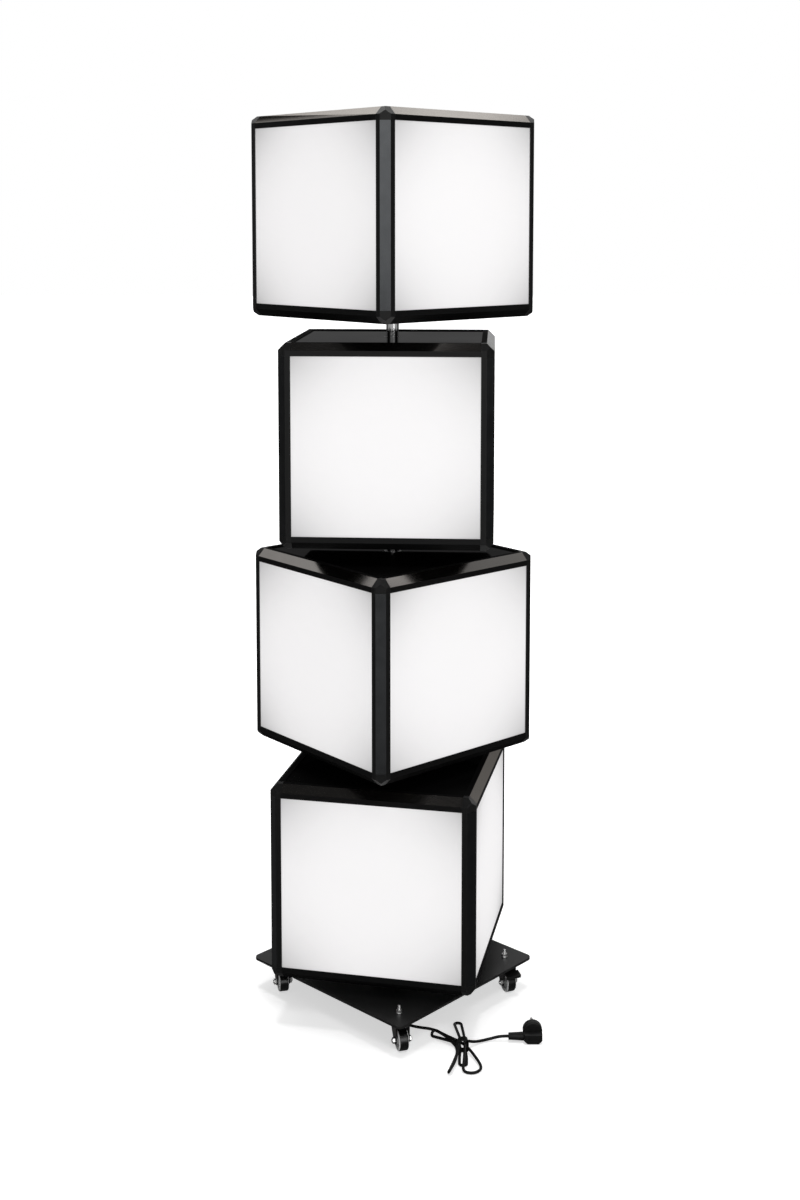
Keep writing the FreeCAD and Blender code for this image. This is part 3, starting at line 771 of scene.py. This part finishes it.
def make_world():
    """White for the camera, the room for mirrors, and an even light for the rest."""
    world = bpy.data.worlds.new("studio")
    scene.world = world
    finish = Finish(world)
    seen = seen_background(finish)
    mirrored = ray_kind(finish, "Is Glossy Ray")
    towards, up = finish.axes(finish.node("TexCoord", output="Generated"))[1:]
    gap = finish.step(up, *room_gap_foot) * (1 - finish.step(up, *room_gap_top))
    behind = finish.step(towards, *room_edge) * (1 - gap)
    facing = finish.step(0 - towards, *room_facing_edge)
    room = room_strength + behind * (1 - room_strength) + facing * room_facing_strength
    white = 1 - mirrored * (1 - room)
    strength = ambient_strength + seen * (white - ambient_strength)
    finish.end(finish.node("Background", {"Color": world_white, "Strength": strength}))


def make_floor():
    """Pale floor that glows to white away from the tower, and that mirrors show as dim."""
    mesh = bpy.data.meshes.new("floor")
    shape = bmesh.new()
    bmesh.ops.create_grid(shape, x_segments=1, y_segments=1, size=floor_size / 2)
    bmesh.ops.translate(shape, vec=(0, 0, -floor_drop), verts=shape.verts)
    shape.to_mesh(mesh)
    shape.free()
    floor = bpy.data.objects.new("floor", mesh)
    scene.collection.objects.link(floor)
    finish = new_finish("pale_floor")
    lit = finish.node("BsdfDiffuse", {"Color": floor_colour})
    point = finish.place()
    away = finish.node("VectorMath", {0: point}, {"operation": "LENGTH"}, output="Value")
    level = finish.step(away, *floor_glow_reach, floor_glow_near, floor_glow_far)
    level = seen_background(finish) * level
    glow = finish.node("Emission", {"Color": world_white, "Strength": level})
    bright = finish.node("AddShader", {0: lit, 1: glow})
    before = 0 - finish.axes(point)[1]
    mirrored = finish.step(before, *floor_mirror_reach, floor_mirror_near, floor_mirror_front)
    dim = finish.node("Emission", {"Color": world_white, "Strength": mirrored})
    in_mirror = ray_kind(finish, "Is Glossy Ray")
    finish.end(finish.node("MixShader", {0: in_mirror, 1: bright, 2: dim}))
    mesh.materials.append(finish.owner)


def make_lamp(name, size, place, power, target):
    """A lit rectangle that faces a point."""
    lamp = bpy.data.lights.new(name, "AREA")
    lamp.shape = "RECTANGLE"
    lamp.size, lamp.size_y = size
    lamp.energy = power
    holder = bpy.data.objects.new(name, lamp)
    holder.location = place
    facing = Vector(target) - Vector(place)
    holder.rotation_euler = facing.to_track_quat("-Z", "Y").to_euler()
    scene.collection.objects.link(holder)


def make_overhead():
    """Soft light from above, which mirrors don't show as a spot."""
    lamp = bpy.data.lights.new("overhead", "SUN")
    lamp.energy = overhead_strength
    lamp.angle = math.radians(overhead_angle_degrees)
    holder = bpy.data.objects.new("overhead", lamp)
    holder.visible_glossy = False
    scene.collection.objects.link(holder)


def dress_tower():
    """Finishes of the cubes, the pole and what hides inside."""
    frame_finish = black_frame()
    corner_finish = moulded_corner()
    sheet_finish = black_sheet()
    bush_finish = turned_plastic()
    for level in range(len(cube_bottoms)):
        cube = "cube_%d_" % (level + 1)
        dress(frame_finish, cube + "rails")
        dress(black_post(level), cube + "posts")
        dress(corner_finish, cube + "corner_caps")
        dress(opal_panel(level), cube + "panels")
        dress(sheet_finish, cube + "lid", cube + "floor")
        dress(bush_finish, cube + "bushes")
        soften(frame_round, cube + "rails", cube + "posts", cube + "corner_caps")
    dress(chrome(), "pole", "pole_cap")
    dress(turned_steel(), "support_collars")
    dress(white_coat(), "light_cores")
    dress(lit_strip(), "led_strips")


def dress_base():
    """Finishes of the plate and the castors."""
    coat = powder_coat()
    zinc = bright_zinc()
    fork = moulded_black("black_fork", level=0.006, roughness=0.24)
    pedal = moulded_black("black_pedal", level=0.008, roughness=0.30)
    rim = moulded_grey()
    dress(coat, "base_plate", "pole_foot")
    dress(zinc, "base_hardware")
    soften(plate_round, "base_plate")
    soften(castor_round, "base_hardware")
    for name in castors:
        castor = "castor_%s_" % name
        dress(fork, castor + "fork")
        dress(zinc, castor + "axle")
        dress(rim, castor + "rim")
        dress(castor_tyre(name), castor + "tyre")
        soften(castor_round, castor + "fork", castor + "axle", castor + "rim")
    for name in braked_castors:
        dress(pedal, "castor_%s_brake_pedal" % name)
        soften(pedal_round, "castor_%s_brake_pedal" % name)


def dress_cord():
    """The cord with its tie, and the finishes of its plug and boot."""
    band = moulded_black("tie_band", level=0.005, roughness=0.45, specular=0.2)
    jacket = moulded_black("cord_jacket", level=0.006, roughness=0.42, specular=0.25)
    boot = moulded_black("boot_plastic", level=0.008, roughness=0.42)
    mains_cord(jacket, tied_waist(band))
    dress(plug_plastic(), "power_plug")
    dress(boot, "cable_entry")


make_camera()
make_world()
make_floor()
make_overhead()
for lamp_name, lamp_facts in lamps.items():
    make_lamp(lamp_name, **lamp_facts)
dress_tower()
dress_base()
dress_cord()
scene.view_settings.view_transform = "Standard"
